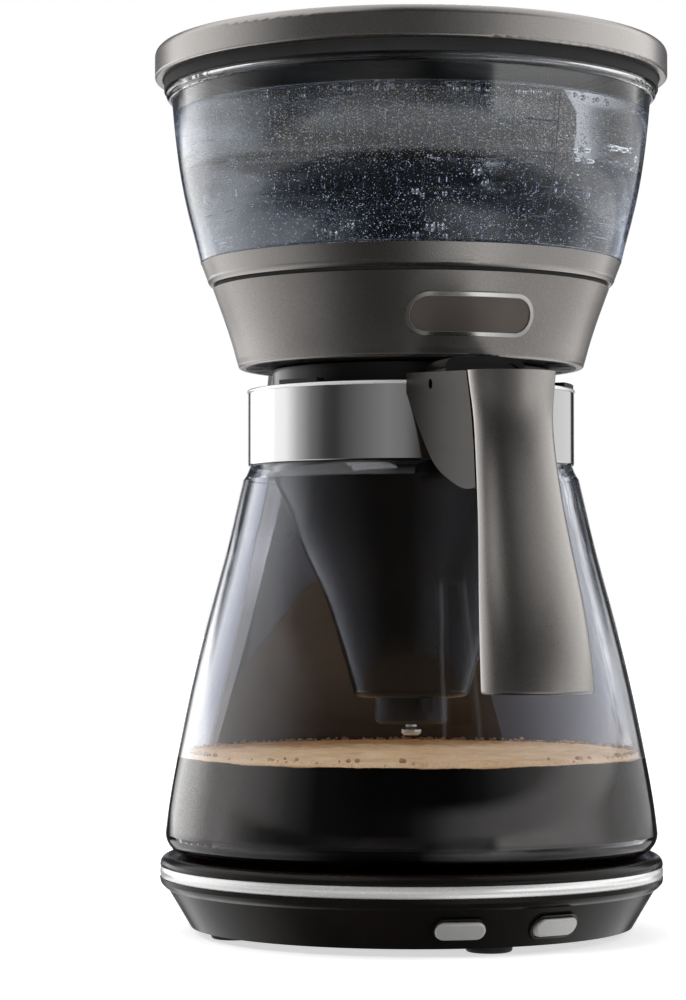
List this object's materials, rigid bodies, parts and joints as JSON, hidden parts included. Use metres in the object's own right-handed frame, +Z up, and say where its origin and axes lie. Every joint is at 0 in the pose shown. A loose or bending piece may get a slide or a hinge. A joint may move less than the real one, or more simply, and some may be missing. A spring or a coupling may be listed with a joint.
{
  "type": "filter coffee maker",
  "caption": "Electric drip coffee maker: clear tank on a pewter head, glass jug with filter holder and handle on a hot plate, black rear column.",
  "frame": {"origin": "centre of the footprint on the table, under the middle of the overall box", "axes": "+Z up, -Y towards the front where the handle and buttons are, +X to the user's right"},
  "size_m": [0.22, 0.2989, 0.379],
  "materials": {
    "black_gloss": "glossy black moulded plastic",
    "black_matte": "matte black plastic",
    "pewter_dark": "metallic pewter paint on plastic, satin, fine flake",
    "pewter_light": "light metallic pewter paint, satin, fine flake",
    "silver_trim": "bright silver plating",
    "silver_satin": "satin silver",
    "chrome": "polished chrome",
    "clear_glass": "clear borosilicate glass",
    "clear_tank": "clear tank plastic",
    "steel": "plain steel",
    "aluminium": "die-cast aluminium",
    "silicone": "translucent silicone",
    "black_rubber": "black rubber",
    "brass": "brass",
    "board_green": "circuit board",
    "white_plastic": "white nylon",
    "plate_coat": "dark non-stick coating"
  },
  "bodies": {
    "root": {"base_shell": "black_gloss", "base_top_cover": "black_gloss", "base_trim_ring": "silver_trim", "base_bottom_plate": "black_matte", "rubber_feet": "black_rubber", "bottom_screws": "steel", "hot_plate": "plate_coat", "hot_plate_seal": "black_rubber", "heating_element": "steel", "boiler_tube": "aluminium", "boiler_block": "aluminium", "thermostat": "steel", "thermal_fuses": "brass", "control_board": "board_green", "board_switches": "black_matte", "button_bezels": "silver_trim", "cord_gland": "black_rubber", "terminal_block": "white_plastic", "wiring_harness": "silicone", "inlet_hose": "silicone", "outlet_hose": "silicone", "hose_clamps": "steel", "check_valve_body": "white_plastic", "column_front_cover": "black_gloss", "column_rear_cover": "black_gloss", "column_screws": "steel", "feed_tube": "silicone", "riser_tube": "silicone", "head_shell": "pewter_dark", "head_underside": "black_matte", "spray_head": "black_matte", "outlet_spout": "white_plastic", "badge_plate": "chrome", "tank_seal": "black_rubber", "tank_base_ring": "pewter_light", "tank_body": "clear_tank", "collar_gasket": "black_rubber", "rim_ring": "pewter_light", "lid_hinge_pin": "steel"},
    "carafe": {"carafe_glass": "clear_glass", "neck_band": "chrome", "band_rim": "silver_trim", "filter_holder": "black_gloss", "filter_holder_rim": "black_matte", "filter_basket": "black_matte", "drip_stop_body": "black_matte", "drip_seal": "silicone", "drip_spring": "steel", "handle_insert": "black_matte", "handle_shell": "pewter_dark", "lever_pin": "steel", "handle_bracket": "steel", "handle_screws": "steel"},
    "lid": {"lid_panel": "pewter_light", "lid_liner": "black_matte"},
    "power_key": {"power_button": "silver_satin"},
    "mode_key": {"mode_button": "silver_satin"},
    "valve_ball": {"check_valve_ball": "silicone"},
    "lever": {"thumb_lever": "black_gloss"},
    "plunger": {"drip_plunger": "steel"}
  },
  "joints": [
    {"name": "carafe_slide", "type": "slide", "parent": "root", "child": "carafe", "axis": [0, -1, 0], "range_m": [0, 0.25]},
    {"name": "lid_hinge", "type": "hinge", "parent": "root", "child": "lid", "pos_m": [0, 0.11855, 0.3724], "axis": [-1, 0, 0], "range_deg": [0, 95]},
    {"name": "power_press", "type": "slide", "parent": "root", "child": "power_key", "axis": [0.1045, 0.9945, 0], "range_m": [0, 0.0018], "stiffness_N_per_m": 500, "springref_m": -0.001},
    {"name": "mode_press", "type": "slide", "parent": "root", "child": "mode_key", "axis": [-0.3074, 0.9516, 0], "range_m": [0, 0.0018], "stiffness_N_per_m": 500, "springref_m": -0.001},
    {"name": "ball_lift", "type": "slide", "parent": "root", "child": "valve_ball", "axis": [0, 0, 1], "range_m": [0, 0.003]},
    {"name": "lever_press", "type": "hinge", "parent": "carafe", "child": "lever", "pos_m": [0, -0.06745, 0.2276], "axis": [1, 0, 0], "range_deg": [0, 8], "stiffness_Nm_per_rad": 0.3, "springref_deg": -8.59},
    {"name": "plunger_lift", "type": "slide", "parent": "carafe", "child": "plunger", "axis": [0, 0, 1], "range_m": [0, 0.003], "stiffness_N_per_m": 300, "springref_m": -0.003, "deforming": ["drip_spring"]}
  ]
}
